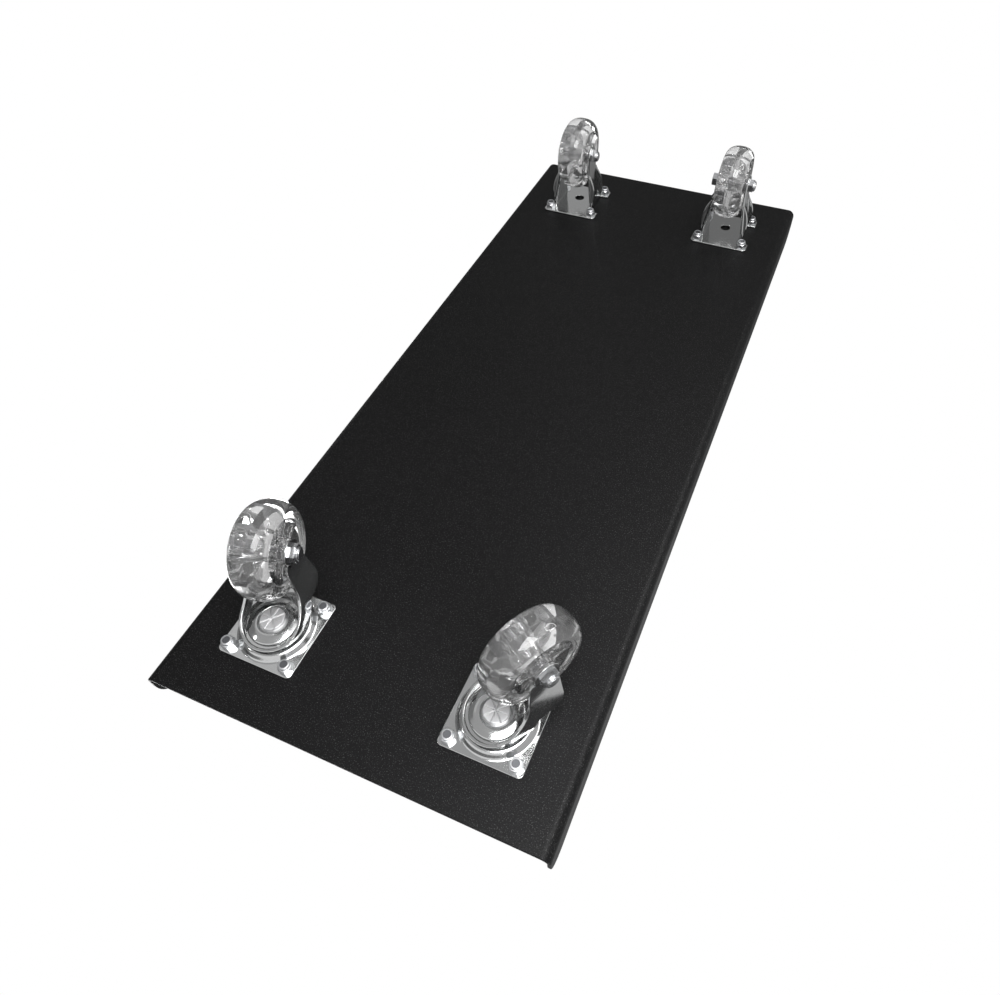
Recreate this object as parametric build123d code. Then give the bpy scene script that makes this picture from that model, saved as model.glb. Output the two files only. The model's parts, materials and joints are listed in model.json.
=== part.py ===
from build123d import *
import math
import os

# Equipment caster dolly: a folded sheet tray on two swivel and two rigid casters.
# Frame: wheels stand on z = 0, +Z up, Y along the tray, swivel casters at the -Y end.
# A caster is drawn about its own axis with z = 0 on the tray's underside and the wheel below.

# Tray
tray_length = 800.0
tray_width = 334.0
tray_sheet = 3.0
lip_height = 38.0
bend_inner_radius = 5.0
lip_corner_radius = 21.0

# Where the casters are bolted, measured from the tray's edges to the plates
side_margin = 38.0
swivel_end_margin = 39.5
rigid_end_margin = 42.0
right_swivel_heading = -14.0
left_swivel_heading = 29.0

# Mounting plates, shared by both kinds of caster
plate_size = 67.0
plate_sheet = 2.5
plate_corner_radius = 4.0
bolt_inset = 7.0

# Plate screws and their locking nuts
screw_diameter = 6.0
screw_head_diameter = 11.3
screw_socket_width = 4.0
screw_socket_depth = 1.8
screw_recess = 0.4
hole_clearance = 0.2
seat_clearance = 0.05
nut_width = 10.0
nut_hex_height = 5.2
nut_collar_height = 2.4
nut_collar_radius = 4.5
nut_round = 0.9

# Swivel bearing
dome_height = 4.5
dome_foot_radius = 29.0
dome_top_radius = 25.5
dome_foot_bend = 3.0
dome_top_bend = 4.0
race_gap = 1.6
race_clearance = 0.1
ball_diameter = 4.0
upper_race_radius = 19.0
upper_ball_count = 14
lower_race_radius = 14.0
lower_ball_count = 10
kingpin_diameter = 8.0
kingpin_top_radius = 7.0
kingpin_top_height = 2.4
kingpin_head_radius = 9.8
kingpin_head_height = 3.4
kingpin_running_clearance = 0.6
crease_count = 8
crease_width = 0.9
cap_radius = 20.5
cap_sheet = 2.2
cap_recess_radius = 11.0
cap_recess_depth = 1.0
cap_skirt_gap = 0.5
cap_skirt_height = 1.4
cap_crest_radius = 15.0
cap_edge_bend = 1.8
cap_crest_bend = 14.0
cap_inside_bend = 1.0

# Fork of the swivel caster
fork_sheet = 2.4
crown_radius = 25.5
crown_shoulder = 2.2
trail = 32.5
axle_drop = 64.0
leg_end_radius = 10.5
leg_knee_drop = 56.0
leg_foot_drop = 18.0
leg_foot_radius = 12.0
leg_root_reach = 20.0
leg_front_low_reach = -6.5
leg_front_low_drop = 18.5
leg_front_high_reach = 15.0
leg_front_high_drop = 38.5
leg_nose_angle = 150.0
leg_section_count = 6

# Bracket of the rigid caster
bracket_sheet = 2.4
bracket_foot_half = 19.0
bracket_top_half = 24.0
ear_gap = 0.6
ear_round = 2.0
bracket_hole_diameter = 11.0
bracket_hole_offset = 6.0
flange_width = 5.0
flange_low = 5.0
flange_middle = 21.0
flange_high = 46.0

# Wheel and axle
wheel_diameter = 77.0
wheel_width = 30.0
tread_crown_width = 13.5
tread_crown_height = 9.5
tread_depth = 10.0
rim_wall = 3.0
rim_inset = 1.0
web_thickness = 6.0
spoke_count = 8
spoke_thickness = 4.0
spoke_inset = 2.0
pocket_round = 2.2
hub_diameter = 21.0
hub_length = 31.0
hub_side_clearance = 0.5
bond_clearance = 0.05
running_clearance = 0.06
sleeve_diameter = 12.0
axle_diameter = 8.0
axle_head_width = 13.0
axle_head_height = 5.3
axle_nut_hex_height = 5.0
axle_nut_collar_height = 2.0
axle_nut_collar_radius = 5.4
axle_end = 0.4
hex_chamfer = 0.9

# Heights that follow from the sizes above
underside = wheel_diameter / 2 + axle_drop
dome_drop = plate_sheet + dome_height
crown_drop = dome_drop + race_gap
crown_under_drop = crown_drop + fork_sheet
cap_drop = crown_under_drop + race_gap
cap_under_drop = cap_drop + cap_sheet
leg_inner_half = hub_length / 2 + hub_side_clearance
leg_outer_half = leg_inner_half + fork_sheet
rim_radius = wheel_diameter / 2 - tread_depth
bolt_spacing = plate_size - 2 * bolt_inset
groove_radius = ball_diameter / 2 + race_clearance


def tray_positions():
    """Swivel and rigid caster axes as (x, y) on the tray, right side first."""
    x = tray_width / 2 - side_margin - plate_size / 2
    front = -tray_length / 2 + swivel_end_margin + plate_size / 2
    back = tray_length / 2 - rigid_end_margin - plate_size / 2
    return [(x, front), (-x, front)], [(x, back), (-x, back)]


swivel_spots, rigid_spots = tray_positions()
bolt_spots = [
    (x + sx * bolt_spacing / 2, y + sy * bolt_spacing / 2)
    for x, y in swivel_spots + rigid_spots
    for sx in (-1, 1)
    for sy in (-1, 1)
]


def turned(points, bends=()):
    """Solid of revolution of a closed outline of (radius, height) points, bent at some of them."""
    outline = make_face(Polyline(*points, close=True))
    for point, radius in bends:
        outline = fillet(outline.vertices().sort_by_distance((*point, 0))[0], radius)
    return revolve(Plane.XZ * outline, Axis.Z)


def ring_groove(pitch_radius, drop):
    """Ball groove as a torus about the swivel axis."""
    return Pos(0, 0, -drop) * Torus(pitch_radius, groove_radius)


def hexagon(width, height):
    """Hexagonal prism with its lower corners turned off."""
    prism = extrude(RegularPolygon(width / 2, 6, major_radius=False), height)
    corner = width / math.sqrt(3)
    blank = Cylinder(corner, height, align=(Align.CENTER, Align.CENTER, Align.MIN))
    return prism & chamfer(blank.edges().group_by(Axis.Z)[-1], hex_chamfer)


def lock_nut(width, hex_height, collar_height, collar_radius, bore_diameter):
    """Locking nut standing on z = 0 with its collar on top."""
    collar = Pos(0, 0, hex_height) * Cylinder(
        collar_radius, collar_height, align=(Align.CENTER, Align.CENTER, Align.MIN)
    )
    collar = fillet(collar.edges().group_by(Axis.Z)[-1], nut_round)
    bore = Cylinder(bore_diameter / 2, 4 * (hex_height + collar_height))
    return hexagon(width, hex_height) + collar - bore


def screw_seat(head_radius, shank_radius, length):
    """Countersunk head and shank, flush with z = 0 and pointing down."""
    cone = head_radius - shank_radius
    return turned([(0, 0), (head_radius, 0), (shank_radius, -cone), (shank_radius, -length), (0, -length)])


def deck_tray():
    """Folded sheet with a lip up each long side, rounded lip ends and countersunk holes."""
    outer = Rectangle(tray_width, lip_height, align=(Align.CENTER, Align.MIN))
    outer = fillet(outer.vertices().group_by(Axis.Y)[0], bend_inner_radius + tray_sheet)
    inner = Pos(0, tray_sheet) * Rectangle(
        tray_width - 2 * tray_sheet, lip_height, align=(Align.CENTER, Align.MIN)
    )
    inner = fillet(inner.vertices().group_by(Axis.Y)[0], bend_inner_radius)
    tray = extrude(Plane.XZ * (outer - inner), tray_length / 2, both=True)
    lip_ends = tray.edges().filter_by(Axis.X).group_by(Axis.Z)[-1]
    tray = fillet(lip_ends, lip_corner_radius)
    hole = screw_seat(
        screw_head_diameter / 2 + seat_clearance, screw_diameter / 2 + hole_clearance, 3 * tray_sheet
    )
    tray -= [Pos(x, y, tray_sheet) * hole for x, y in bolt_spots]
    return Pos(0, 0, underside) * tray


def plate_screws():
    """Countersunk socket screws through the tray and the caster plates."""
    length = tray_sheet + plate_sheet + nut_hex_height + nut_collar_height - screw_recess
    screw = screw_seat(screw_head_diameter / 2, screw_diameter / 2, length)
    socket = extrude(RegularPolygon(screw_socket_width / 2, 6, major_radius=False), -screw_socket_depth)
    screw -= socket
    return [Pos(x, y, underside + tray_sheet) * screw for x, y in bolt_spots]


def plate_nuts():
    """Locking nuts under the caster plates."""
    bore = screw_diameter + 2 * seat_clearance
    nut = lock_nut(nut_width, nut_hex_height, nut_collar_height, nut_collar_radius, bore)
    return [Pos(x, y, underside - plate_sheet) * Rot(180, 0, 0) * nut for x, y in bolt_spots]


def plate_blank():
    """Square plate with rounded corners and a screw hole near each."""
    blank = RectangleRounded(plate_size, plate_size, plate_corner_radius)
    blank -= GridLocations(bolt_spacing, bolt_spacing, 2, 2) * Circle(screw_diameter / 2 + hole_clearance)
    return extrude(blank, -plate_sheet)


def swivel_plate():
    """Plate with a pressed dome that carries the upper ball race."""
    wall = plate_sheet
    bore = kingpin_diameter / 2 + seat_clearance
    foot = dome_foot_radius
    skirt = foot + wall / 2 + dome_foot_bend / 2
    top_inside = (dome_top_radius - wall / 2, -dome_height)
    foot_inside = (foot - wall / 2, 0)
    foot_outside = (foot + wall / 2, -wall)
    top_outside = (dome_top_radius + wall / 2, -dome_drop)
    under = [(skirt, 0), (skirt, -wall), foot_outside, top_outside, (bore, -dome_drop)]
    bends = [
        (top_inside, wall / 2),
        (foot_inside, wall / 2),
        (foot_outside, dome_foot_bend),
        (top_outside, dome_top_bend),
    ]
    dome = turned([(bore, -dome_height), top_inside, foot_inside] + under, bends)
    flat = plate_blank() - Cylinder(foot + wall / 2, 4 * wall)
    return flat + dome - ring_groove(upper_race_radius, dome_drop + race_gap / 2)


def kingpin():
    """Rivet that holds the swivel together, its lower head creased into a star."""
    shank = kingpin_diameter / 2
    floor = cap_under_drop - cap_recess_depth
    end = floor + kingpin_head_height
    pin = turned([
        (0, -dome_height + kingpin_top_height),
        (kingpin_top_radius, -dome_height + kingpin_top_height),
        (kingpin_top_radius, -dome_height),
        (shank, -dome_height),
        (shank, -floor),
        (kingpin_head_radius, -floor),
        (kingpin_head_radius, -end),
        (0, -end),
    ])
    rim = pin.edges().filter_by(GeomType.CIRCLE).group_by(Axis.Z)[0]
    pin = fillet(rim, crease_width)
    crease = Pos(kingpin_head_radius / 2, 0, -end) * Rot(45, 0, 0) * Box(
        kingpin_head_radius, crease_width, crease_width
    )
    return pin - [Rot(0, 0, i * 360 / crease_count) * crease for i in range(crease_count)]


def ball_ring(pitch_radius, drop, count):
    """Loose balls spaced round a race."""
    return [
        Rot(0, 0, i * 360 / count) * Pos(pitch_radius, 0, -drop) * Sphere(ball_diameter / 2)
        for i in range(count)
    ]


def bearing_cap():
    """Full, round-edged cap under the crown that carries the lower balls, recessed for the rivet."""
    bore = kingpin_diameter / 2 + seat_clearance
    skirt = crown_under_drop + cap_skirt_gap
    inside = (cap_radius - cap_sheet, -cap_drop)
    edge = (cap_radius, -skirt - cap_skirt_height)
    crest = (cap_crest_radius, -cap_under_drop)
    outline = [
        (bore, -cap_drop),
        inside,
        (cap_radius - cap_sheet, -skirt),
        (cap_radius, -skirt),
        edge,
        crest,
        (cap_recess_radius + cap_recess_depth, -cap_under_drop),
        (cap_recess_radius, -cap_under_drop + cap_recess_depth),
        (bore, -cap_under_drop + cap_recess_depth),
    ]
    bends = [(inside, cap_inside_bend), (edge, cap_edge_bend), (crest, cap_crest_bend)]
    cap = turned(outline, bends)
    return cap - ring_groove(lower_race_radius, crown_under_drop + race_gap / 2)


def leg_half_width(drop, top_half, top_drop):
    """Outer half width of a pair of legs at one drop: wide at the top, drawn in to the axle."""
    share = min(1.0, max(0.0, (drop - top_drop) / (leg_knee_drop - top_drop)))
    ease = share * share * (3 - 2 * share)
    return top_half + (leg_outer_half - top_half) * ease


def fork_section(drop, inset):
    """Plan outline of the drawn fork at one height, round in front and straight along the legs."""
    half = leg_half_width(drop, crown_radius, crown_under_drop) - inset
    reach = trail + 2 * leg_end_radius
    return Pos(0, reach / 2, -drop) * Rot(0, 0, 90) * SlotCenterToCenter(reach, 2 * half)


def fork_form(inset):
    """Solid form of the fork's outside, or of its inside when inset by the sheet."""
    step = (leg_knee_drop - crown_under_drop) / (leg_section_count - 1)
    drawn = loft([fork_section(crown_under_drop + i * step, inset) for i in range(leg_section_count)])
    end = axle_drop + 2 * leg_end_radius
    straight = extrude(fork_section(leg_knee_drop, inset), leg_knee_drop - end)
    return drawn + straight


def leg_outline():
    """Side outline of the fork, from the low front rim to the axle and back to the crown."""
    back = trail + leg_end_radius
    turn = math.radians(leg_nose_angle)
    nose = (trail + leg_end_radius * math.cos(turn), -axle_drop + leg_end_radius * math.sin(turn))
    rim = (-crown_radius - fork_sheet, -crown_under_drop)
    sweep = Spline(
        rim,
        (leg_front_low_reach, -leg_front_low_drop),
        (leg_front_high_reach, -leg_front_high_drop),
        nose,
        tangents=[(1, 0), (math.sin(turn), -math.cos(turn))],
    )
    tip = ThreePointArc(nose, (trail, -axle_drop - leg_end_radius), (back, -axle_drop))
    heel = (back, -leg_foot_drop - leg_foot_radius)
    toe = (back - leg_foot_radius, -leg_foot_drop)
    bend = leg_foot_radius * (1 - math.sqrt(0.5))
    foot = ThreePointArc(heel, (back - bend, -leg_foot_drop - bend), toe)
    root = (leg_root_reach, -leg_foot_drop)
    crown_back = (leg_root_reach - leg_foot_drop + crown_under_drop, -crown_under_drop)
    closing = Polyline(toe, root, crown_back, rim)
    return make_face([sweep, tip, Line((back, -axle_drop), heel), foot] + closing.edges())


def swivel_fork():
    """Pressed fork: a round crown with two legs that sweep back to the axle."""
    shell = fork_form(0) - fork_form(fork_sheet)
    legs = shell & extrude(Plane.YZ * leg_outline(), 2 * crown_radius, both=True)
    bore = kingpin_diameter / 2 + kingpin_running_clearance
    crown = turned([
        (bore, -crown_drop),
        (crown_radius - crown_shoulder, -crown_drop),
        (crown_radius, -crown_under_drop + fork_sheet / 4),
        (crown_radius, -crown_under_drop),
        (bore, -crown_under_drop),
    ])
    crown -= ring_groove(upper_race_radius, dome_drop + race_gap / 2)
    crown -= ring_groove(lower_race_radius, crown_under_drop + race_gap / 2)
    axle_hole = Pos(0, trail, -axle_drop) * Rot(0, 90, 0) * Cylinder(
        axle_diameter / 2 + hole_clearance, 4 * leg_outer_half
    )
    return legs + crown - axle_hole


def bracket_half_width(drop):
    """Outer half width of the rigid legs at one drop below the tray."""
    return leg_half_width(drop, bracket_top_half, plate_sheet)


def bracket_lean():
    """Angle at which a rigid leg's edges close in from the plate to the axle."""
    return math.atan2(bracket_foot_half - leg_end_radius, axle_drop - plate_sheet)


def bracket_leg_outline():
    """Side outline of a rigid leg, wide at the plate and round at the axle."""
    lean = bracket_lean()
    nose = (leg_end_radius * math.cos(lean), -axle_drop + leg_end_radius * math.sin(lean))
    tip = ThreePointArc((-nose[0], nose[1]), (0, -axle_drop - leg_end_radius), nose)
    foot = (bracket_foot_half, -plate_sheet / 2)
    sides = Polyline(nose, foot, (-foot[0], foot[1]), (-nose[0], nose[1]))
    return make_face([tip] + sides.edges())


def bracket_leg_band():
    """End view of the right rigid leg: a band of sheet that draws in and then hangs straight."""
    step = (leg_knee_drop - plate_sheet) / (leg_section_count - 1)
    drops = [plate_sheet + i * step for i in range(leg_section_count)]
    outer = [(bracket_half_width(drop), -drop) for drop in drops]
    inner = [(x - bracket_sheet, z) for x, z in outer]
    end = -axle_drop - leg_end_radius
    upright = [(0, -1), (0, -1)]
    top = Polyline(inner[0], (inner[0][0], 0), (outer[0][0], 0), outer[0])
    bottom = Polyline(outer[-1], (outer[-1][0], end), (inner[-1][0], end), inner[-1])
    sides = [Spline(*outer, tangents=upright), Spline(*inner, tangents=upright)]
    return make_face(sides + top.edges() + bottom.edges())


def leg_flange():
    """Crescent flange turned out along the front edge of the right rigid leg."""
    drops = (flange_low, flange_middle, flange_high)
    low, middle, high = [(bracket_half_width(drop), drop) for drop in drops]
    buried = [(x - bracket_sheet / 2, drop) for x, drop in (high, middle, low)]
    crescent = make_face([
        ThreePointArc(low, (middle[0] + flange_width, flange_middle), high),
        Polyline(high, *buried, low),
    ])
    lean = bracket_lean()
    edge = Plane((0, -bracket_foot_half, 0), (1, 0, 0), (0, math.cos(lean), math.sin(lean)))
    return extrude(edge * crescent, bracket_sheet)


def rigid_plate():
    """Plate cut away beside the legs, which leaves an ear round each screw."""
    cut = plate_size - 2 * bracket_top_half
    notch = RectangleRounded(cut, 2 * (bracket_foot_half + ear_gap), ear_round)
    notch = extrude(notch, 2 * plate_sheet, both=True)
    return plate_blank() - [Pos(side * plate_size / 2, 0, 0) * notch for side in (-1, 1)]


def rigid_bracket():
    """Plate with two upright legs pressed from it, flanged along their edges."""
    leg = extrude(Plane.XZ * bracket_leg_band(), plate_size, both=True)
    leg &= extrude(Plane.YZ * bracket_leg_outline(), plate_size, both=True)
    flange = leg_flange()
    right = leg + flange + flange.mirror(Plane.XZ)
    hole = Pos(0, bracket_hole_offset, 0) * Cylinder(bracket_hole_diameter / 2, 4 * plate_sheet)
    axle_hole = Pos(0, 0, -axle_drop) * Rot(0, 90, 0) * Cylinder(
        axle_diameter / 2 + hole_clearance, 4 * leg_outer_half
    )
    return rigid_plate() + right + right.mirror(Plane.YZ) - hole - axle_hole


def axle_bolt():
    """Axle bolt along X about the wheel's centre, head at +X."""
    shank = leg_outer_half + axle_nut_hex_height + axle_nut_collar_height + axle_end
    bolt = Pos(-shank, 0, 0) * Rot(0, 90, 0) * Cylinder(
        axle_diameter / 2, shank + leg_outer_half, align=(Align.CENTER, Align.CENTER, Align.MIN)
    )
    return bolt + Pos(leg_outer_half, 0, 0) * Rot(0, 90, 0) * hexagon(axle_head_width, axle_head_height)


def axle_nut():
    """Locking nut on the axle bolt's -X end."""
    nut = lock_nut(
        axle_head_width,
        axle_nut_hex_height,
        axle_nut_collar_height,
        axle_nut_collar_radius,
        axle_diameter + 2 * seat_clearance,
    )
    return Pos(-leg_outer_half, 0, 0) * Rot(0, -90, 0) * nut


def axle_sleeve():
    """Steel sleeve clamped between the legs, on which the hub turns."""
    tube = Cylinder(sleeve_diameter / 2, 2 * leg_inner_half)
    tube -= Cylinder(axle_diameter / 2 + hole_clearance, 4 * leg_inner_half)
    return Rot(0, 90, 0) * tube


def core_pocket():
    """Rounded pocket between two spokes, from the web out past the core's side."""
    half_step = math.pi / spoke_count
    apex = spoke_thickness / 2 / math.sin(half_step)
    far = (apex + wheel_diameter * math.cos(half_step), wheel_diameter * math.sin(half_step))
    wedge = make_face(Polyline((apex, 0), far, (far[0], -far[1]), close=True))
    pocket = (Circle(rim_radius - rim_wall) - Circle(hub_diameter / 2)) & wedge
    pocket = fillet(pocket.vertices(), pocket_round)
    return extrude(Pos(0, 0, web_thickness / 2) * pocket, wheel_width)


def wheel_core():
    """Clear core: hub, web, spokes and rim, with rounded pockets in both sides, turned about X."""
    rim_half = wheel_width / 2 - rim_inset
    hub_radius = hub_diameter / 2
    recess = Cylinder(rim_radius - rim_wall, wheel_width) - Cylinder(hub_radius, wheel_width)
    recess_middle = rim_half - spoke_inset + wheel_width / 2
    core = Cylinder(rim_radius, 2 * rim_half) + Cylinder(hub_radius, hub_length)
    core -= [Pos(0, 0, side * recess_middle) * recess for side in (-1, 1)]
    pocket = core_pocket()
    pockets = [Rot(0, 0, (i + 0.5) * 360 / spoke_count) * pocket for i in range(spoke_count)]
    core -= pockets + [each.mirror(Plane.XY) for each in pockets]
    core -= Cylinder(sleeve_diameter / 2 + running_clearance, 2 * hub_length)
    return Rot(0, 90, 0) * core


def wheel_tread():
    """Clear tyre with a well rounded crown, bonded round the core."""
    radius = wheel_diameter / 2
    half = wheel_width / 2
    bore = rim_radius + bond_clearance
    shoulder = radius - tread_crown_height
    flat = half - tread_crown_width
    right = EllipticalCenterArc((flat, shoulder), tread_crown_width, tread_crown_height, 0)
    left = EllipticalCenterArc((-flat, shoulder), tread_crown_width, tread_crown_height, 90)
    sides = Polyline((-half, shoulder), (-half, bore), (half, bore), (half, shoulder))
    section = make_face([right, Line((flat, radius), (-flat, radius)), left] + sides.edges())
    return revolve(section, Axis.X)


def write(name, *pieces):
    """Write one node from one solid or from a group of separate solids."""
    solids = [solid for piece in pieces for solid in piece.solids()]
    export_step(Compound(solids), f"parts/{name}.step")


def write_wheel(name, axle):
    """Write a wheel and what it turns on, about an axle place."""
    write(f"{name}_axle_bolt", axle * axle_bolt())
    write(f"{name}_axle_nut", axle * axle_nut())
    write(f"{name}_axle_sleeve", axle * axle_sleeve())
    write(f"{name}_wheel_core", axle * wheel_core())
    write(f"{name}_wheel_tread", axle * wheel_tread())


def write_swivel_caster(name, x, y, heading):
    """Write a swivel caster, with its fork turned to the heading about its kingpin."""
    fixed = Pos(x, y, underside)
    fork = fixed * Rot(0, 0, heading)
    upper = ball_ring(upper_race_radius, dome_drop + race_gap / 2, upper_ball_count)
    lower = ball_ring(lower_race_radius, crown_under_drop + race_gap / 2, lower_ball_count)
    write(f"{name}_plate", fixed * swivel_plate())
    write(f"{name}_kingpin", fixed * kingpin())
    write(f"{name}_bearing_cap", fixed * bearing_cap())
    write(f"{name}_upper_balls", *[fork * ball for ball in upper])
    write(f"{name}_lower_balls", *[fork * ball for ball in lower])
    write(f"{name}_fork", fork * swivel_fork())
    write_wheel(name, fork * Pos(0, trail, -axle_drop))


def write_rigid_caster(name, x, y):
    """Write a rigid caster, which always rolls along the tray."""
    fixed = Pos(x, y, underside)
    write(f"{name}_bracket", fixed * rigid_bracket())
    write_wheel(name, fixed * Pos(0, 0, -axle_drop))


def main():
    """Build every piece in its place and write it."""
    os.makedirs("parts", exist_ok=True)
    write("deck_tray", deck_tray())
    write("plate_screws", *plate_screws())
    write("plate_nuts", *plate_nuts())
    headings = (right_swivel_heading, left_swivel_heading)
    for side, spot, heading in zip(("right", "left"), swivel_spots, headings):
        write_swivel_caster(f"{side}_swivel", *spot, heading)
    for side, spot in zip(("right", "left"), rigid_spots):
        write_rigid_caster(f"{side}_rigid", *spot)


main()
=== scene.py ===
import json
import logging
import math
from dataclasses import dataclass
from enum import Enum
from typing import Callable

import bmesh
import bpy
from mathutils import Euler, Matrix, Vector


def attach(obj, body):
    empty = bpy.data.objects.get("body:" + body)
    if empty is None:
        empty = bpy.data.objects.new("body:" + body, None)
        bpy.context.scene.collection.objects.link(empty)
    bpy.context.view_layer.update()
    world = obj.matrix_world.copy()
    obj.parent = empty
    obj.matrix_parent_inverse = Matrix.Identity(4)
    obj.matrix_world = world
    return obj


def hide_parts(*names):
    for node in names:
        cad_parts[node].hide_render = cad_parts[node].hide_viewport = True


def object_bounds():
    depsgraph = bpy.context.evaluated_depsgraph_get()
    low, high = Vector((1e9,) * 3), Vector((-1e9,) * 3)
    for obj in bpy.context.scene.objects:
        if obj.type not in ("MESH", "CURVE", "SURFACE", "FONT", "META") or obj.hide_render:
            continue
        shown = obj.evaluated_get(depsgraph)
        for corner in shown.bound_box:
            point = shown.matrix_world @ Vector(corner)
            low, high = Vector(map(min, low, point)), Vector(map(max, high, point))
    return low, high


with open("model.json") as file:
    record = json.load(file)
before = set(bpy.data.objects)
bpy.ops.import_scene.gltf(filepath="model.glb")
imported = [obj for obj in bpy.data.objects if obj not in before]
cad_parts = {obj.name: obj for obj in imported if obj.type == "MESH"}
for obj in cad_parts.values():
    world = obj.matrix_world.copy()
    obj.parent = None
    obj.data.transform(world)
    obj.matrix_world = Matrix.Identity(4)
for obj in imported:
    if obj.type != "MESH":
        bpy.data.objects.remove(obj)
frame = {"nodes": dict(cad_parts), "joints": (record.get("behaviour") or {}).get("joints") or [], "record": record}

CAD_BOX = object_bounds()
LOG = logging.getLogger("dolly")
MM = 0.001
# Points closer than this many metres are one
MERGE = 1e-6
# Bends up to the first are shaded smooth, those over the second are rounded, and faces within
# the third of each other are one flat
SMOOTH_ANGLE = math.radians(35)
SHARP_ANGLE = math.radians(40)
FLAT_ANGLE = math.radians(1)
EDGE_SEGMENTS = 2
FLAT_WEIGHT = 100
# Sockets of a Mix node that mixes colours
MIX_SHARE, MIX_FIRST, MIX_SECOND, MIX_RESULT = 0, 6, 7, 2
WHITE = "#ffffff"


class Side(str, Enum):
    """The two sides of the dolly, as the part's names say them."""

    RIGHT = "right"
    LEFT = "left"


class Caster(str, Enum):
    """The two kinds of caster."""

    SWIVEL = "swivel"
    RIGID = "rigid"


class Sheet(str, Enum):
    """Endings of the nodes that are folded or pressed from sheet."""

    TRAY = "deck_tray"
    PLATE = "swivel_plate"
    FORK = "swivel_fork"
    BRACKET = "rigid_bracket"
    CAP = "bearing_cap"


class Slot(str, Enum):
    """Material slots of the record."""

    DECK = "deck_coat"
    PLATING = "bright_plating"
    FASTENER = "zinc_fastener"
    BEARING = "bearing_steel"
    CORE = "clear_core"
    TYRE = "clear_tyre"


SLOTS = {entry["node"]: Slot(entry["material_slot"]) for entry in frame["record"]["subparts"]}


def srgb(code: str) -> tuple[float, float, float, float]:
    """Turn an sRGB hex colour into linear values.

    Args:
        code: colour such as "#1a1a1b".

    Returns:
        Linear red, green, blue and a full alpha.
    """
    shares = [int(code[i : i + 2], 16) / 255 for i in (1, 3, 5)]
    linear = [c / 12.92 if c <= 0.04045 else ((c + 0.055) / 1.055) ** 2.4 for c in shares]
    return (*linear, 1.0)


def per_metre(size_mm: float) -> float:
    """Texture scale at which one feature of a pattern is this many millimetres."""
    return 1.0 / (size_mm * MM)


def add_node(
    tree: bpy.types.NodeTree,
    kind: str,
    inputs: dict[str | int, object] | None = None,
    **settings: object,
) -> bpy.types.Node:
    """Add one node, set it and link what feeds it.

    Args:
        tree: node tree that takes the node.
        kind: Blender's name of the node type.
        inputs: value or output socket for each input, by name or index.
        settings: the node's own properties.

    Returns:
        The new node.
    """
    node = tree.nodes.new(kind)
    for name, value in settings.items():
        setattr(node, name, value)
    for key, value in (inputs or {}).items():
        if isinstance(value, bpy.types.NodeSocket):
            tree.links.new(value, node.inputs[key])
        else:
            node.inputs[key].default_value = value
    return node


def blank_material(name: str) -> bpy.types.Material:
    """Make a material whose node tree is still empty.

    Args:
        name: name of the material.

    Returns:
        The new material.
    """
    material = bpy.data.materials.new(name)
    material.use_nodes = True
    material.node_tree.nodes.clear()
    return material


@dataclass(frozen=True)
class Finish:
    """A surface finish that becomes one node material."""

    name: str
    colour: str
    roughness: float

    def material(self) -> bpy.types.Material:
        """Make the material, or give the one already made.

        Returns:
            The finish's material.
        """
        known = bpy.data.materials.get(self.name)
        if known:
            return known
        material = blank_material(self.name)
        tree = material.node_tree
        shader = add_node(
            tree,
            "ShaderNodeBsdfPrincipled",
            {"Base Color": srgb(self.colour), "Roughness": self.roughness},
        )
        add_node(tree, "ShaderNodeOutputMaterial", {"Surface": shader.outputs[0]})
        where = add_node(tree, "ShaderNodeTexCoord").outputs["Object"]
        self.wire(tree, shader, where)
        return material

    def wire(
        self, tree: bpy.types.NodeTree, shader: bpy.types.Node, where: bpy.types.NodeSocket
    ) -> None:
        """Add the finish's own pattern.

        Args:
            tree: the material's nodes.
            shader: its surface shader.
            where: Object coordinates, in metres.
        """
        raise NotImplementedError

    def paint(self, piece: bpy.types.Object) -> None:
        """Give a piece this finish all over.

        Args:
            piece: mesh object whose material slots are replaced.
        """
        piece.data.materials.clear()
        piece.data.materials.append(self.material())


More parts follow.
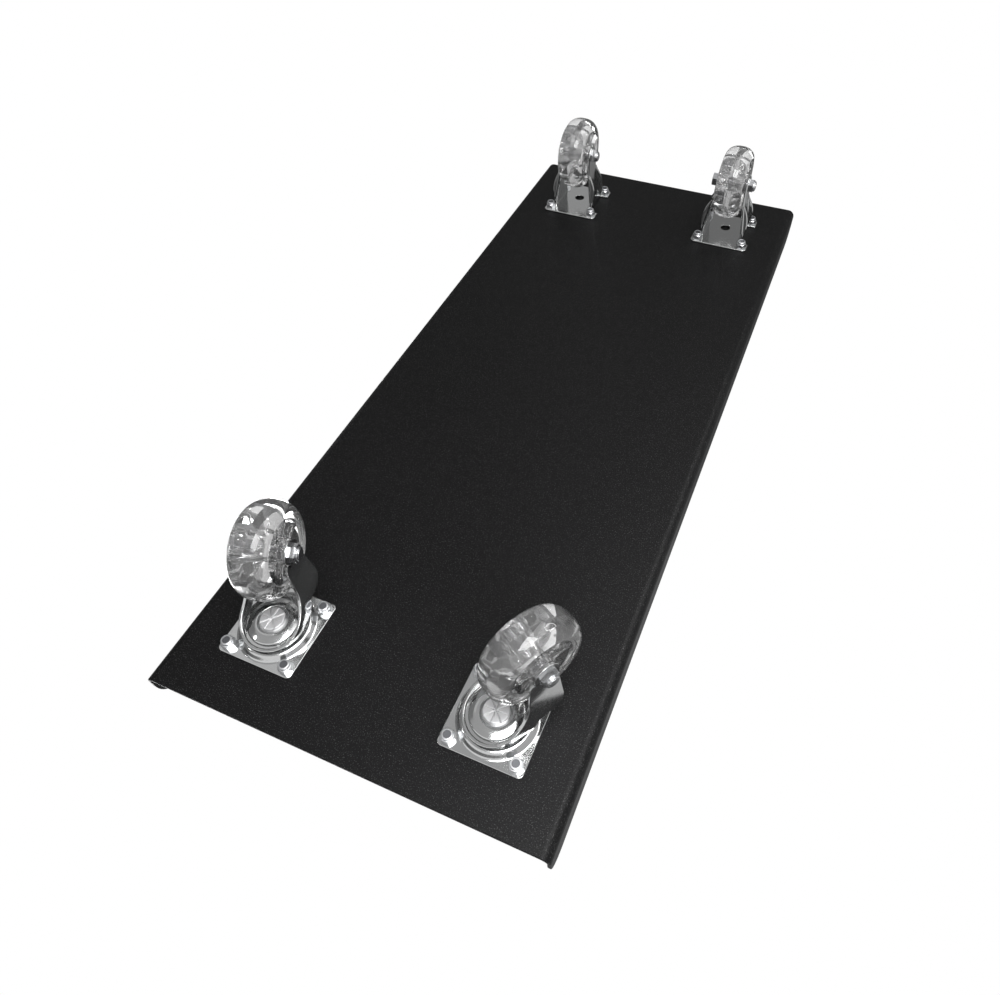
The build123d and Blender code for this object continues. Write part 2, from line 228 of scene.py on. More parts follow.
@dataclass(frozen=True)
class PowderCoat(Finish):
    """Sprayed and baked powder on sheet steel: matt, slightly pebbled, with fine pale flecks.

    Real pebbles and flecks are a few tenths of a millimetre. They are drawn coarser, so that
    they show.
    """

    fleck_colour: str = "#444444"
    pebble_mm: float = 1.3
    fleck_mm: float = 0.8
    fleck_from: float = 0.60
    fleck_to: float = 0.76
    pebble_depth_mm: float = 0.15
    pebble_strength: float = 1.0
    gloss_drift: float = 0.08
    specular: float = 0.15

    def wire(
        self, tree: bpy.types.NodeTree, shader: bpy.types.Node, where: bpy.types.NodeSocket
    ) -> None:
        """Add pebbling, flecks and a drift of gloss.

        Args:
            tree: the material's nodes.
            shader: its surface shader.
            where: Object coordinates, in metres.
        """
        shader.inputs["Specular IOR Level"].default_value = self.specular
        pebble = add_node(
            tree,
            "ShaderNodeTexNoise",
            {"Vector": where, "Scale": per_metre(self.pebble_mm), "Detail": 2.0},
        )
        fleck = add_node(
            tree,
            "ShaderNodeTexNoise",
            {"Vector": where, "Scale": per_metre(self.fleck_mm), "Detail": 1.0},
        )
        share = add_node(
            tree,
            "ShaderNodeMapRange",
            {
                "Value": fleck.outputs["Fac"],
                "From Min": self.fleck_from,
                "From Max": self.fleck_to,
            },
        )
        colour = add_node(
            tree,
            "ShaderNodeMix",
            {
                MIX_SHARE: share.outputs[0],
                MIX_FIRST: srgb(self.colour),
                MIX_SECOND: srgb(self.fleck_colour),
            },
            data_type="RGBA",
        )
        gloss = add_node(
            tree,
            "ShaderNodeMapRange",
            {
                "Value": pebble.outputs["Fac"],
                "To Min": self.roughness - self.gloss_drift,
                "To Max": self.roughness + self.gloss_drift,
            },
        )
        bump = add_node(
            tree,
            "ShaderNodeBump",
            {
                "Height": pebble.outputs["Fac"],
                "Distance": self.pebble_depth_mm * MM,
                "Strength": self.pebble_strength,
            },
        )
        tree.links.new(colour.outputs[MIX_RESULT], shader.inputs["Base Color"])
        tree.links.new(gloss.outputs[0], shader.inputs["Roughness"])
        tree.links.new(bump.outputs[0], shader.inputs["Normal"])


@dataclass(frozen=True)
class PlatedSteel(Finish):
    """Bright electroplating on steel: mirror-like, with the waviness of the pressing under it."""

    wave_mm: float = 7.0
    wave_depth_mm: float = 0.03
    wave_strength: float = 0.5
    smear_mm: float = 3.0
    smear_from: float = 0.3
    smear_to: float = 0.7
    smear: float = 0.06

    def wire(
        self, tree: bpy.types.NodeTree, shader: bpy.types.Node, where: bpy.types.NodeSocket
    ) -> None:
        """Add the pressing's waviness and a drift of gloss.

        Args:
            tree: the material's nodes.
            shader: its surface shader.
            where: Object coordinates, in metres.
        """
        shader.inputs["Metallic"].default_value = 1.0
        smear = add_node(
            tree,
            "ShaderNodeTexNoise",
            {
                "Vector": where,
                "Scale": per_metre(self.smear_mm),
                "Detail": 4.0,
                "Roughness": 0.65,
            },
        )
        wave = add_node(
            tree,
            "ShaderNodeTexNoise",
            {"Vector": where, "Scale": per_metre(self.wave_mm), "Detail": 1.0},
        )
        gloss = add_node(
            tree,
            "ShaderNodeMapRange",
            {
                "Value": smear.outputs["Fac"],
                "From Min": self.smear_from,
                "From Max": self.smear_to,
                "To Min": self.roughness - self.smear / 2,
                "To Max": self.roughness + self.smear,
            },
        )
        bump = add_node(
            tree,
            "ShaderNodeBump",
            {
                "Height": wave.outputs["Fac"],
                "Distance": self.wave_depth_mm * MM,
                "Strength": self.wave_strength,
            },
        )
        tree.links.new(gloss.outputs[0], shader.inputs["Roughness"])
        tree.links.new(bump.outputs[0], shader.inputs["Normal"])


@dataclass(frozen=True)
class ScrewZinc(PlatedSteel):
    """Plain zinc on screws, with shade painted dark into the bottoms of their sockets.

    Heights are above the floor.
    """

    # Colour of the shade painted into the bottoms of the sockets
    socket_shade_colour: str = "#161616"
    socket_mouth_mm: float = 104.9
    socket_floor_mm: float = 103.5
    head_bottom_mm: float = 102.5

    def wire(
        self, tree: bpy.types.NodeTree, shader: bpy.types.Node, where: bpy.types.NodeSocket
    ) -> None:
        """Add the plating's pattern, and shade painted by height in the sockets.

        Args:
            tree: the material's nodes.
            shader: its surface shader.
            where: Object coordinates, in metres.
        """
        super().wire(tree, shader, where)
        height = add_node(tree, "ShaderNodeSeparateXYZ", {"Vector": where}).outputs["Z"]
        depth = add_node(
            tree,
            "ShaderNodeMapRange",
            {
                "Value": height,
                "From Min": self.socket_mouth_mm * MM,
                "From Max": self.socket_floor_mm * MM,
            },
        )
        head = add_node(
            tree,
            "ShaderNodeMath",
            {0: height, 1: self.head_bottom_mm * MM},
            operation="GREATER_THAN",
        )
        share = add_node(
            tree,
            "ShaderNodeMath",
            {0: depth.outputs[0], 1: head.outputs[0]},
            operation="MULTIPLY",
        )
        # Painted shade: the socket bottoms turn dark by height
        colour = add_node(
            tree,
            "ShaderNodeMix",
            {
                MIX_SHARE: share.outputs[0],
                MIX_FIRST: srgb(self.colour),
                MIX_SECOND: srgb(self.socket_shade_colour),
            },
            data_type="RGBA",
        )
        tree.links.new(colour.outputs[MIX_RESULT], shader.inputs["Base Color"])


@dataclass(frozen=True)
class ClearMoulding(Finish):
    """Clear moulded plastic: glassy, with faint clouding and flow ripples from the mould."""

    cloud_colour: str = "#dedede"
    ior: float = 1.49
    clearness: float = 0.95
    cloud_mm: float = 9.0
    ripple_mm: float = 6.0
    ripple_depth_mm: float = 0.15
    ripple_strength: float = 0.5

    def wire(
        self, tree: bpy.types.NodeTree, shader: bpy.types.Node, where: bpy.types.NodeSocket
    ) -> None:
        """Add clouding and ripples to a clear body.

        Args:
            tree: the material's nodes.
            shader: its surface shader.
            where: Object coordinates, in metres.
        """
        shader.inputs["Transmission Weight"].default_value = self.clearness
        shader.inputs["IOR"].default_value = self.ior
        cloud = add_node(
            tree,
            "ShaderNodeTexNoise",
            {"Vector": where, "Scale": per_metre(self.cloud_mm), "Detail": 3.0},
        )
        ripple = add_node(
            tree,
            "ShaderNodeTexNoise",
            {"Vector": where, "Scale": per_metre(self.ripple_mm), "Detail": 1.0},
        )
        colour = add_node(
            tree,
            "ShaderNodeMix",
            {
                MIX_SHARE: cloud.outputs["Fac"],
                MIX_FIRST: srgb(self.colour),
                MIX_SECOND: srgb(self.cloud_colour),
            },
            data_type="RGBA",
        )
        bump = add_node(
            tree,
            "ShaderNodeBump",
            {
                "Height": ripple.outputs["Fac"],
                "Distance": self.ripple_depth_mm * MM,
                "Strength": self.ripple_strength,
            },
        )
        tree.links.new(colour.outputs[MIX_RESULT], shader.inputs["Base Color"])
        tree.links.new(bump.outputs[0], shader.inputs["Normal"])


# Black polyester powder coat, sprayed and baked on folded steel: matt black with a fine pebble
DECK_COAT = PowderCoat("powder_coat_black", "#070708", 0.45)
# Chrome plating on pressed steel: bright mirror over the waves that pressing leaves
BRIGHT_CHROME = PlatedSteel("bright_chrome", "#c4c5c5", 0.12)
# Bright zinc plating on turned and headed steel: a mirror a little clouded
BRIGHT_ZINC = PlatedSteel(
    "bright_zinc", "#c6c7c9", 0.2, wave_mm=2.0, wave_depth_mm=0.01, smear_mm=1.2
)
# Bright zinc plating on locking nuts: pale, with soft highlights on the rolled collars
ROLLED_ZINC = PlatedSteel(
    "rolled_zinc", "#d2d3d5", 0.3, wave_mm=2.0, wave_depth_mm=0.01, smear_mm=1.2
)
# Plain zinc plating on the heads and cut ends of screws: dull grey, with shade painted dark into the sockets
DULL_ZINC = ScrewZinc(
    "dull_zinc", "#6a6b6e", 0.42, wave_mm=1.0, wave_depth_mm=0.01, smear_mm=0.8
)
# Zinc plating that riveting has pressed: satin, so the creased head shows its facets
SATIN_ZINC = PlatedSteel(
    "satin_zinc", "#c8c8c9", 0.52, wave_mm=1.5, wave_depth_mm=0.01, smear_mm=1.0
)
# Hardened and ground bearing steel: a plain grey mirror
GROUND_STEEL = PlatedSteel(
    "ground_steel", "#b0b0b3", 0.15, wave_mm=1.5, wave_depth_mm=0.004, smear_mm=1.0
)
# Clear polyurethane, cast round the core: glassy, nearly without ripples
CLEAR_TYRE = ClearMoulding("clear_polyurethane", "#f2f2f2", 0.02, ripple_depth_mm=0.05)
# Clear polycarbonate, injection moulded: glassy, with close flow ripples
CLEAR_CORE = ClearMoulding(
    "clear_polycarbonate", "#f0f0f0", 0.02, ior=1.58, clearness=0.985, ripple_mm=3.0
)

FINISHES = {
    Slot.DECK: DECK_COAT,
    Slot.PLATING: BRIGHT_CHROME,
    Slot.FASTENER: BRIGHT_ZINC,
    Slot.BEARING: GROUND_STEEL,
    Slot.CORE: CLEAR_CORE,
    Slot.TYRE: CLEAR_TYRE,
}


def deselect_all() -> None:
    """Leave nothing selected, so that an operator acts on one piece only."""
    bpy.ops.object.select_all(action="DESELECT")


def pick(piece: bpy.types.Object, test: Callable[[Vector], bool]) -> None:
    """Select the points of a piece in edit mode, and the edges and faces between them.

    Args:
        piece: object in edit mode.
        test: whether a point at this place is wanted.
    """
    mesh = bmesh.from_edit_mesh(piece.data)
    for vert in mesh.verts:
        vert.select_set(test(vert.co))
    mesh.select_flush(True)
    mesh.select_flush(False)
    bmesh.update_edit_mesh(piece.data)


def pick_edges(piece: bpy.types.Object, test: Callable[[Vector, Vector], bool]) -> None:
    """Select edges of a piece in edit mode.

    Args:
        piece: object in edit mode.
        test: whether an edge between these two places is wanted.
    """
    bpy.ops.mesh.select_mode(type="EDGE")
    bpy.ops.mesh.select_all(action="DESELECT")
    mesh = bmesh.from_edit_mesh(piece.data)
    for edge in mesh.edges:
        edge.select_set(test(*(vert.co for vert in edge.verts)))
    bmesh.update_edit_mesh(piece.data)


def pull(
    piece: bpy.types.Object, test: Callable[[Vector], bool], by: tuple[float, float, float]
) -> None:
    """Extrude the chosen edges of a flat section.

    Args:
        piece: object in edit mode.
        test: whether a point belongs to the edges.
        by: how far the new edges go.
    """
    pick(piece, test)
    bpy.ops.mesh.extrude_region_move(TRANSFORM_OT_translate={"value": by})


def new_section(name: str, width: float, low: float, high: float) -> bpy.types.Object:
    """Start a flat section with X along the axle and Y out from it, and go into edit mode.

    Args:
        name: name of the piece.
        width: width along the axle.
        low: inner radius.
        high: outer radius.

    Returns:
        The new object.
    """
    deselect_all()
    bpy.ops.mesh.primitive_plane_add(size=1.0)
    piece = bpy.context.active_object
    piece.name = name
    bpy.ops.object.mode_set(mode="EDIT")
    bpy.ops.transform.resize(value=(width, high - low, 1.0))
    bpy.ops.transform.translate(value=(0.0, (low + high) / 2, 0.0))
    return piece


def spin_round(piece: bpy.types.Object, steps: int) -> None:
    """Turn a section about the X axis into a closed ring and leave edit mode.

    Args:
        piece: object in edit mode whose faces form the section.
        steps: number of steps in the full turn.
    """
    bpy.ops.mesh.select_all(action="SELECT")
    bpy.ops.mesh.remove_doubles(threshold=MERGE)
    bpy.ops.mesh.dissolve_faces()
    bpy.ops.mesh.delete(type="ONLY_FACE")
    bpy.ops.mesh.select_all(action="SELECT")
    bpy.ops.mesh.spin(steps=steps, angle=2 * math.pi, center=(0, 0, 0), axis=(1, 0, 0))
    bpy.ops.mesh.select_all(action="SELECT")
    bpy.ops.mesh.remove_doubles(threshold=MERGE)
    bpy.ops.mesh.normals_make_consistent(inside=False)
    bpy.ops.object.mode_set(mode="OBJECT")


def take(piece: bpy.types.Object) -> None:
    """Select one piece alone and make it the active one.

    Args:
        piece: the piece that the next operator works on.
    """
    deselect_all()
    piece.select_set(True)
    bpy.context.view_layer.objects.active = piece


def smooth(piece: bpy.types.Object) -> None:
    """Shade a piece smooth between its hard edges."""
    take(piece)
    bpy.ops.object.shade_smooth_by_angle(angle=SMOOTH_ANGLE)


def apply_modifier(piece: bpy.types.Object, modifier: bpy.types.Modifier) -> None:
    """Make a modifier's result the piece's own mesh."""
    take(piece)
    bpy.ops.object.modifier_apply(modifier=modifier.name)


def round_edges(
    piece: bpy.types.Object, radius: float, share: Callable[[Vector], float] | None = None
) -> None:
    """Round a piece's sharp edges.

    Args:
        piece: a closed, merged mesh.
        radius: width of the rounding.
        share: part of that width for an edge with an end here, where it isn't the same all over.
    """
    ease = piece.modifiers.new("ease", "BEVEL")
    ease.width = radius
    ease.segments = EDGE_SEGMENTS
    ease.limit_method = "ANGLE"
    ease.angle_limit = SHARP_ANGLE
    if share:
        ease.limit_method = "WEIGHT"
        mesh = bmesh.new()
        mesh.from_mesh(piece.data)
        weight = mesh.edges.layers.float.new("bevel_weight_edge")
        for edge in mesh.edges:
            if edge.calc_face_angle(0.0) > SHARP_ANGLE:
                edge[weight] = min(share(vert.co) for vert in edge.verts)
        mesh.to_mesh(piece.data)
        mesh.free()
    ease.use_clamp_overlap = False
    ease.harden_normals = True
    apply_modifier(piece, ease)


def level_flats(piece: bpy.types.Object) -> None:
    """Let the large flats of a piece set its shading, so that they look flat up to their edges.

    Args:
        piece: a piece with rounded edges.
    """
    level = piece.modifiers.new("level", "WEIGHTED_NORMAL")
    level.weight = FLAT_WEIGHT
    level.keep_sharp = True
    apply_modifier(piece, level)


def copy_to(piece: bpy.types.Object, name: str, place: Matrix) -> bpy.types.Object:
    """Copy a modelled piece, with its own mesh, to a place held in the mesh.

    Args:
        piece: the pattern, modelled about the origin.
        name: name of the copy.
        place: where the copy goes.

    Returns:
        The copy, with its object at the origin.
    """
    twin = piece.copy()
    twin.data = piece.data.copy()
    twin.name = name
    twin.data.name = name
    twin.data.transform(place)
    bpy.context.scene.collection.objects.link(twin)
    return twin


def discard(piece: bpy.types.Object) -> None:
    """Remove a pattern that was only there to be copied.

    Args:
        piece: the pattern, which goes with its mesh.
    """
    mesh = piece.data
    bpy.data.objects.remove(piece)
    bpy.data.meshes.remove(mesh)


@dataclass
class ClearWheel:
    """A clear tyre round a clear pocketed core, modelled about the X axis.

    The core reaches into the rim by bond, so that light crosses between them without a gap. What
    is within touch of a place counts as there.
    """

    radius: float = 38.5 * MM
    width: float = 30.0 * MM
    bore: float = 28.5 * MM
    crown_width: float = 13.5 * MM
    crown_height: float = 9.5 * MM
    rim_inner: float = 25.5 * MM
    rim_width: float = 28.0 * MM
    hub_radius: float = 10.5 * MM
    hub_bore: float = 6.06 * MM
    hub_length: float = 31.0 * MM
    web: float = 6.0 * MM
    spokes: int = 8
    spoke_thickness: float = 4.0 * MM
    spoke_width: float = 24.0 * MM
    pocket_round: float = 2.2 * MM
    hub_collar: float = 0.3 * MM
    spoke_flare: float = 0.6 * MM
    floor_round: float = 0.8 * MM
    bond: float = 0.03 * MM
    edge: float = 0.5 * MM
    touch: float = 0.01 * MM
    crown_segments: int = 14
    rim_segments: int = 3
    pocket_segments: int = 6
    floor_segments: int = 2
    steps: int = 128

    def build_tyre(self) -> bpy.types.Object:
        """Model the tyre's section with the rim it is cast on, round its crown and turn it.

        Returns:
            The tyre about the origin.
        """
        stretch = self.crown_width / self.crown_height
        tyre = new_section("tyre_pattern", self.width / stretch, self.bore, self.radius)
        pick(tyre, lambda at: at.y > self.radius - self.touch)
        bpy.ops.mesh.bevel(
            offset=self.crown_height, affect="VERTICES", segments=self.crown_segments
        )
        bpy.ops.mesh.select_all(action="SELECT")
        bpy.ops.transform.resize(value=(stretch, 1.0, 1.0))
        pull(tyre, lambda at: at.y < self.bore + self.touch, (0.0, -self.edge, 0.0))
        bpy.ops.transform.resize(value=(self.rim_width / self.width, 1.0, 1.0))
        low = self.bore - self.edge
        pull(tyre, lambda at: at.y < low + self.touch, (0.0, self.rim_inner - low, 0.0))
        pick(tyre, lambda at: at.y < self.rim_inner + self.touch)
        bpy.ops.mesh.bevel(offset=self.edge, affect="VERTICES", segments=self.rim_segments)
        spin_round(tyre, self.steps)
        smooth(tyre)
        return tyre

    def build_core(self) -> bpy.types.Object:
        """Model hub and drum as one turned section, and cut the pockets out of it.

        Returns:
            The core about the origin.
        """
        outer = self.rim_inner + self.bond
        core = new_section("core_pattern", self.spoke_width, self.hub_radius, outer)
        inner = self.hub_radius + self.touch
        pull(core, lambda at: at.y < inner, (0.0, self.hub_bore - self.hub_radius, 0.0))
        hub_reach = (self.hub_length - self.spoke_width) / 2
        for sign in (-1, 1):
            side = sign * self.spoke_width / 2
            pull(
                core,
                lambda at: abs(at.x - side) < self.touch and at.y < inner,
                (sign * hub_reach, 0.0, 0.0),
            )
        spin_round(core, self.steps)
        pockets = self.build_pockets()
        cut = core.modifiers.new("pockets", "BOOLEAN")
        cut.operation = "DIFFERENCE"
        cut.solver = "EXACT"
        cut.object = pockets
        apply_modifier(core, cut)
        discard(pockets)
        smooth(core)
        round_edges(core, self.edge)
        return core

    def build_pockets(self) -> bpy.types.Object:
        """Model the rounded pocket between two spokes and repeat it round both sides.

        Returns:
            All the pockets as one cutter.
        """
        depth = self.width / 2
        low = self.hub_radius + self.hub_collar
        high = self.rim_inner + self.spoke_flare
        step = 2 * math.pi / self.spokes
        deselect_all()
        bpy.ops.mesh.primitive_cube_add(size=1.0)
        pocket = bpy.context.active_object
        bpy.ops.object.mode_set(mode="EDIT")
        bpy.ops.transform.resize(value=(depth, high - low, 1.0))
        bpy.ops.transform.translate(value=((self.web + depth) / 2, (low + high) / 2, 0.0))
        for radius in (low, high):
            spread = 2 * radius * math.tan(step / 2) - self.spoke_thickness / math.cos(step / 2)
            pick(pocket, lambda at: abs(at.y - radius) < self.touch)
            bpy.ops.transform.resize(value=(1.0, 1.0, spread))
        pick_edges(pocket, lambda a, b: abs(a.x - b.x) > depth / 2)
        bpy.ops.mesh.bevel(
            offset=self.pocket_round, affect="EDGES", segments=self.pocket_segments
        )
        floor = self.web / 2 + self.touch
        pick_edges(pocket, lambda a, b: a.x < floor and b.x < floor)
        bpy.ops.mesh.bevel(
            offset=self.floor_round, affect="EDGES", segments=self.floor_segments
        )
        bpy.ops.object.mode_set(mode="OBJECT")
        sides = (Matrix.Identity(4), Matrix.Rotation(math.pi, 4, "Y"))
        turns = [Matrix.Rotation((i + 0.5) * step, 4, "X") for i in range(self.spokes)]
        copies = [copy_to(pocket, "pockets", turn @ side) for turn in turns for side in sides]
        discard(pocket)
        deselect_all()
        for each in copies:
            each.select_set(True)
        bpy.context.view_layer.objects.active = copies[0]
        bpy.ops.object.join()
        return copies[0]


@dataclass
class WheelSet:
    """The wheels of the casters, each in place on its axle."""

    pattern: ClearWheel

    def build(self) -> None:
        """Model one tyre and one core and copy them to each caster."""
        tyre = self.pattern.build_tyre()
        core = self.pattern.build_core()
        for kind in Caster:
            for side in Side:
                self.fit(tyre, core, f"{side.value}_{kind.value}")
        discard(tyre)
        discard(core)

    def fit(self, tyre: bpy.types.Object, core: bpy.types.Object, name: str) -> None:
        """Put a wheel on one caster's axle and dress it.

        Args:
            tyre: the tyre's pattern.
            core: the core's pattern.
            name: side and kind of the caster.
        """
        joint = next(j for j in frame["joints"] if j["name"] == f"{name}_roll")
        axle = Vector(joint["axis"]).to_track_quat("X", "Z").to_matrix().to_4x4()
        place = Matrix.Translation(joint["pos_m"]) @ axle
        for part, pattern, finish, slot in (
            ("tread", tyre, CLEAR_TYRE, Slot.TYRE),
            ("core", core, CLEAR_CORE, Slot.CORE),
        ):
            piece = copy_to(pattern, f"{name}_{part}", place)
            finish.paint(piece)
            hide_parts(f"{name}_wheel_{part}")
            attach(piece, f"{name}_wheel")
            LOG.info("%s built", piece.name)


@dataclass
class SheetMetal:
    """The folded and pressed sheets, with the eased edges that tumbling leaves on them.

    A rigid bracket is plate above foot_level and legs below it. The tray's own edges are within
    tray_margin of its outline, and its screw seats are further in.
    """

    edge: float = 0.5 * MM
    rolled_edge: float = 1.1 * MM
    foot_level: float = 98.0 * MM
    tray_margin: float = 8.0 * MM

    def build(self) -> None:
        """Copy each packed sheet, ease its edges and dress it."""
        for body, nodes in frame["record"]["behaviour"]["bodies"].items():
            for name in nodes:
                if name.endswith(tuple(kind.value for kind in Sheet)):
                    self.fit(name, body)

    def rounding(self, name: str) -> tuple[float, Callable[[Vector], float] | None]:
        """Choose how a sheet's edges are rounded: fuller on legs, not at the tray's screw seats.

        Args:
            name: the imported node.

        Returns:
            Width of the rounding, and its share at each place where it isn't the same all over.
        """
        if name.endswith(Sheet.BRACKET.value):
            foot = self.edge / self.rolled_edge
            return self.rolled_edge, lambda at: foot if at.z > self.foot_level else 1.0
        if name == Sheet.TRAY.value:
            half_width, half_length = (reach - self.tray_margin for reach in CAD_BOX[1][:2])
            return self.edge, lambda at: float(abs(at.x) > half_width or abs(at.y) > half_length)
        return self.edge, None

    def fit(self, name: str, body: str) -> None:
        """Put an eased sheet in one packed sheet's place.

        Args:
            name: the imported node.
            body: the body that carries it.
        """
        slot = SLOTS[name]
        piece = copy_to(frame["nodes"][name], f"{name}_eased", Matrix.Identity(4))
        piece.parent = None
        take(piece)
        bpy.ops.object.mode_set(mode="EDIT")
        bpy.ops.mesh.select_all(action="SELECT")
        bpy.ops.mesh.remove_doubles(threshold=MERGE)
        bpy.ops.mesh.customdata_custom_splitnormals_clear()
        bpy.ops.mesh.dissolve_limited(angle_limit=FLAT_ANGLE)
        bpy.ops.object.mode_set(mode="OBJECT")
        smooth(piece)
        round_edges(piece, *self.rounding(name))
        level_flats(piece)
        FINISHES[slot].paint(piece)
        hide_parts(name)
        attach(piece, body)
        LOG.info("%s eased", name)


@dataclass
class Metalwork:
    """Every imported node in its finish, with zinc of their own on the screws, nuts and rivets."""

    screws: str = "plate_screws"
    nuts: str = "plate_nuts"
    rivets: str = "_kingpin"

    def dress(self) -> None:
        """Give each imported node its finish."""
        for name, slot in SLOTS.items():
            finish = FINISHES[slot]
            if name == self.screws:
                finish = DULL_ZINC
            elif name == self.nuts:
                finish = ROLLED_ZINC
            elif name.endswith(self.rivets):
                finish = SATIN_ZINC
            finish.paint(frame["nodes"][name])
            LOG.info("%s dressed", name)


@dataclass(frozen=True)
class Card:
    """A flat card of the stage that shows only in reflections or through clear plastic."""

    name: str
    place: tuple[float, float, float]
    size: tuple[float, float]
    colour: str
    strength: float = 1.0
    mirrored: bool = True
    through: bool = False

    def stand(self) -> Matrix:
        """Turn a unit square into this card, which faces the object squarely.

        Returns:
            The square's size and place.
        """
        axis = max(range(3), key=lambda i: abs(self.place[i]))
        aim = Vector((0.0, 0.0, 0.0))
        aim[axis] = -self.place[axis]
        turn = aim.to_track_quat("Z", "Y").to_matrix().to_4x4()
        return Matrix.Translation(self.place) @ turn @ Matrix.Diagonal((*self.size, 1.0, 1.0))


CARDS = (
    Card("floor_card", (0.0, 0.0, -1.5), (2.8, 2.8), "#bcbcbc"),
    Card("left_patch", (1.03, 0.14, -1.48), (0.45, 0.45), "#dedede"),
    Card("right_floor", (-0.775, 0.0, -1.45), (1.25, 2.8), WHITE, 2.8),
    Card("near_patch", (-0.5, -0.65, -1.4), (0.9, 0.9), WHITE, 12.0),
    Card("ceiling_card", (0.0, 0.0, 2.2), (2.8, 2.8), "#c0c0c0"),
    Card("far_card", (0.0, 1.4, 0.0), (2.8, 4.4), "#858585"),
    Card("far_patch", (0.54, 1.38, -0.57), (0.3, 0.36), "#b2b2b2"),
    Card("left_card", (1.4, 0.0, 0.0), (2.8, 4.4), "#8a8a8a"),
    Card("right_card", (-1.4, 0.0, 0.0), (2.8, 4.4), "#d0d0d0"),
    Card("near_card", (0.0, -1.4, 0.0), (2.8, 4.4), "#7a7a7a"),
    Card("near_strip", (0.0, -1.35, -0.65), (2.4, 1.3), WHITE),
    Card("left_veil", (1.5, 0.0, 0.0), (3.0, 4.4), "#d4d4d4", mirrored=False, through=True),
    Card("near_veil", (0.0, -1.5, 0.0), (3.0, 4.4), "#a0a0a0", mirrored=False, through=True),
)
GLINT_PLACES = (
    (-0.6, -1.2, -0.5),
    (0.9, -0.7, -0.8),
    (-1.0, 0.3, -0.8),
    (0.4, 1.0, -0.9),
    (1.1, 0.4, -0.2),
)
GLINT_SIZE = (0.05, 0.05)
GLINT_STRENGTH = 40.0
GLINTS = tuple(
    Card(f"glint_{count}", place, GLINT_SIZE, WHITE, GLINT_STRENGTH, through=True)
    for count, place in enumerate(GLINT_PLACES, 1)
)


@dataclass(frozen=True)
class Lamp:
    """A soft square lamp that looks at the floor under the tray's middle, in metres and watts."""

    name: str
    place: tuple[float, float, float]
    size: float
    watts: float
    shiny: bool = True


LAMPS = (
    Lamp("camera_side", (-0.5, -0.6, -0.45), 0.4, 6.0, shiny=False),
    Lamp("key_above", (0.9, 0.9, 1.7), 1.2, 55.0),
    Lamp("fill_above", (1.2, -0.1, 1.4), 1.4, 30.0),
)


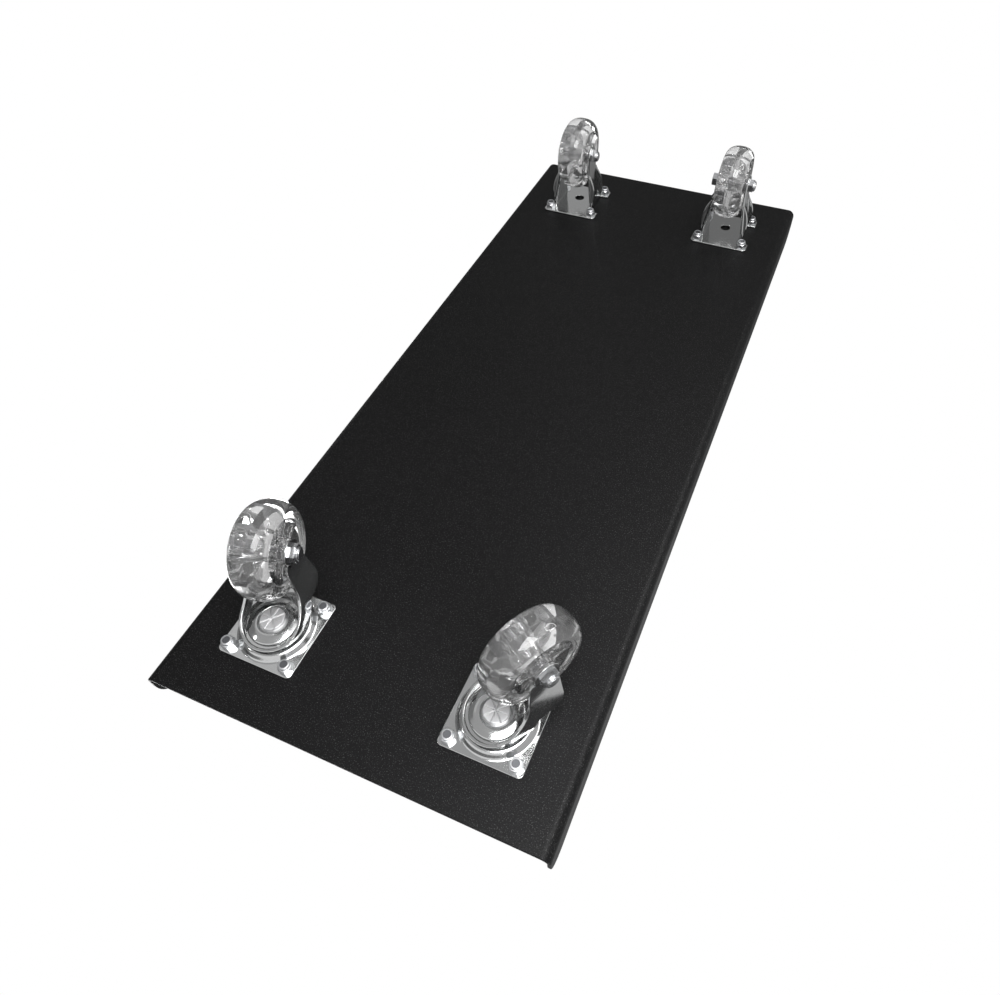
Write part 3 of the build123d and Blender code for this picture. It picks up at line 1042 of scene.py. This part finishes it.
@dataclass
class Studio:
    """Camera, lamps, white surround and floor."""

    camera_mm: tuple[float, float, float] = (-210.5, -481.1, -412.0)
    camera_turn: tuple[float, float, float] = (-142.5733, -1.2998, 157.2629)
    lens_mm: float = 26.03
    sensor_mm: float = 36.0
    near_clip: float = 0.01
    shift: tuple[float, float] = (-0.0463, -0.0072)
    ambient: float = 0.75
    floor_size: float = 8.0
    floor_colour: str = "#f4f4f4"
    floor_fade: tuple[float, float] = (0.8, 1.6)
    ring_place: tuple[float, float, float] = (-0.55, 0.25, -0.5)
    ring_aim: tuple[float, float, float] = (0.0, -0.3, 0.0)
    ring_radius: float = 0.18
    ring_width: float = 0.03
    ring_steps: int = 64
    ring_strength: float = 12.0

    def build(self) -> None:
        """Set up the whole stage."""
        bpy.context.scene.view_settings.view_transform = "Standard"
        self.add_camera()
        self.add_world()
        self.add_floor()
        self.add_cards()
        self.add_ring()
        for lamp in LAMPS:
            self.add_lamp(lamp)

    def glow(self, name: str, colour: str, strength: float) -> bpy.types.Material:
        """Make an evenly shining surface for the stage.

        Args:
            name: name of the material.
            colour: sRGB colour.
            strength: brightness, where 1 shows the colour as it is written.

        Returns:
            The material.
        """
        material = blank_material(name)
        tree = material.node_tree
        shine = add_node(tree, "ShaderNodeEmission", {"Color": srgb(colour), "Strength": strength})
        add_node(tree, "ShaderNodeOutputMaterial", {"Surface": shine.outputs[0]})
        return material

    def only_reflected(self, piece: bpy.types.Object) -> None:
        """Keep a stage piece out of everything but reflections.

        Args:
            piece: card or ring of the stage.
        """
        piece.visible_camera = False
        piece.visible_diffuse = False
        piece.visible_transmission = False
        piece.visible_shadow = False

    def add_cards(self) -> None:
        """Stand the cards round the object."""
        for each in CARDS + GLINTS:
            deselect_all()
            bpy.ops.mesh.primitive_plane_add(size=1.0)
            card = bpy.context.active_object
            card.name = each.name
            card.data.transform(each.stand())
            card.data.materials.append(self.glow(each.name, each.colour, each.strength))
            self.only_reflected(card)
            card.visible_glossy = each.mirrored
            card.visible_transmission = each.through

    def add_ring(self) -> None:
        """Hang a ring lamp whose round highlight shows on the tyres."""
        deselect_all()
        bpy.ops.mesh.primitive_torus_add(
            major_radius=self.ring_radius,
            minor_radius=self.ring_width / 2,
            major_segments=self.ring_steps,
        )
        ring = bpy.context.active_object
        ring.name = "ring_lamp"
        aim = Vector(self.ring_place) - Vector(self.ring_aim)
        turn = aim.to_track_quat("Z", "Y").to_matrix().to_4x4()
        ring.data.transform(Matrix.Translation(self.ring_place) @ turn)
        ring.data.materials.append(self.glow("ring_glow", WHITE, self.ring_strength))
        self.only_reflected(ring)

    def add_camera(self) -> None:
        """Put the camera where the photograph was taken from."""
        data = bpy.data.cameras.new("camera")
        data.sensor_width = self.sensor_mm
        data.lens = self.lens_mm
        data.shift_x, data.shift_y = self.shift
        data.clip_start = self.near_clip
        camera = bpy.data.objects.new("camera", data)
        camera.location = Vector(self.camera_mm) * MM
        camera.rotation_euler = Euler([math.radians(a) for a in self.camera_turn])
        bpy.context.scene.collection.objects.link(camera)
        bpy.context.scene.camera = camera

    def add_world(self) -> None:
        """Show white behind the object, in it and through it, with a softer light on it."""
        world = bpy.data.worlds.new("surround")
        world.use_nodes = True
        tree = world.node_tree
        tree.nodes.clear()
        path = add_node(tree, "ShaderNodeLightPath")
        seen = path.outputs["Is Camera Ray"]
        for other in ("Is Glossy Ray", "Is Transmission Ray"):
            seen = add_node(
                tree, "ShaderNodeMath", {0: seen, 1: path.outputs[other]}, operation="MAXIMUM"
            ).outputs[0]
        light = add_node(tree, "ShaderNodeBackground", {"Strength": self.ambient})
        white = add_node(tree, "ShaderNodeBackground", {"Strength": 1.0})
        for shade in (light, white):
            shade.inputs["Color"].default_value = srgb(WHITE)
        both = add_node(
            tree, "ShaderNodeMixShader", {0: seen, 1: light.outputs[0], 2: white.outputs[0]}
        )
        add_node(tree, "ShaderNodeOutputWorld", {"Surface": both.outputs[0]})
        bpy.context.scene.world = world

    def add_floor(self) -> None:
        """Lay a pale floor that runs out into white.

        It is seen only from above, because the photograph's camera is below it.
        """
        deselect_all()
        bpy.ops.mesh.primitive_plane_add(size=self.floor_size)
        floor = bpy.context.active_object
        floor.name = "floor"
        material = blank_material("pale_floor")
        tree = material.node_tree
        path = add_node(tree, "ShaderNodeLightPath")
        face = add_node(tree, "ShaderNodeNewGeometry")
        above = add_node(
            tree, "ShaderNodeMath", {0: 1.0, 1: face.outputs["Backfacing"]}, operation="SUBTRACT"
        )
        seen = add_node(
            tree,
            "ShaderNodeMath",
            {0: above.outputs[0], 1: path.outputs["Is Camera Ray"]},
            operation="MULTIPLY",
        )
        paper = add_node(tree, "ShaderNodeBsdfDiffuse", {"Color": srgb(self.floor_colour)})
        white = add_node(tree, "ShaderNodeEmission", {"Color": srgb(WHITE)})
        where = add_node(tree, "ShaderNodeTexCoord").outputs["Object"]
        reach = add_node(tree, "ShaderNodeVectorMath", {0: where}, operation="LENGTH")
        fade = add_node(
            tree,
            "ShaderNodeMapRange",
            {
                "Value": reach.outputs["Value"],
                "From Min": self.floor_fade[0],
                "From Max": self.floor_fade[1],
            },
        )
        ground = add_node(
            tree,
            "ShaderNodeMixShader",
            {0: fade.outputs[0], 1: paper.outputs[0], 2: white.outputs[0]},
        )
        air = add_node(tree, "ShaderNodeBsdfTransparent")
        both = add_node(
            tree,
            "ShaderNodeMixShader",
            {0: seen.outputs[0], 1: air.outputs[0], 2: ground.outputs[0]},
        )
        add_node(tree, "ShaderNodeOutputMaterial", {"Surface": both.outputs[0]})
        material.cycles.emission_sampling = "NONE"
        floor.data.materials.append(material)

    def add_lamp(self, lamp: Lamp) -> None:
        """Hang one lamp.

        Args:
            lamp: its place, size and power, and whether it shows as a highlight.
        """
        data = bpy.data.lights.new(lamp.name, "AREA")
        data.size = lamp.size
        data.energy = lamp.watts
        light = bpy.data.objects.new(lamp.name, data)
        light.location = lamp.place
        light.visible_glossy = lamp.shiny
        light.rotation_euler = (-Vector(lamp.place)).to_track_quat("-Z", "Y").to_euler()
        bpy.context.scene.collection.objects.link(light)


def main() -> None:
    """Build and dress the dolly, then its stage."""
    logging.basicConfig(level=logging.INFO)
    Metalwork().dress()
    SheetMetal().build()
    WheelSet(ClearWheel()).build()
    Studio().build()


if __name__ == "__main__":
    main()
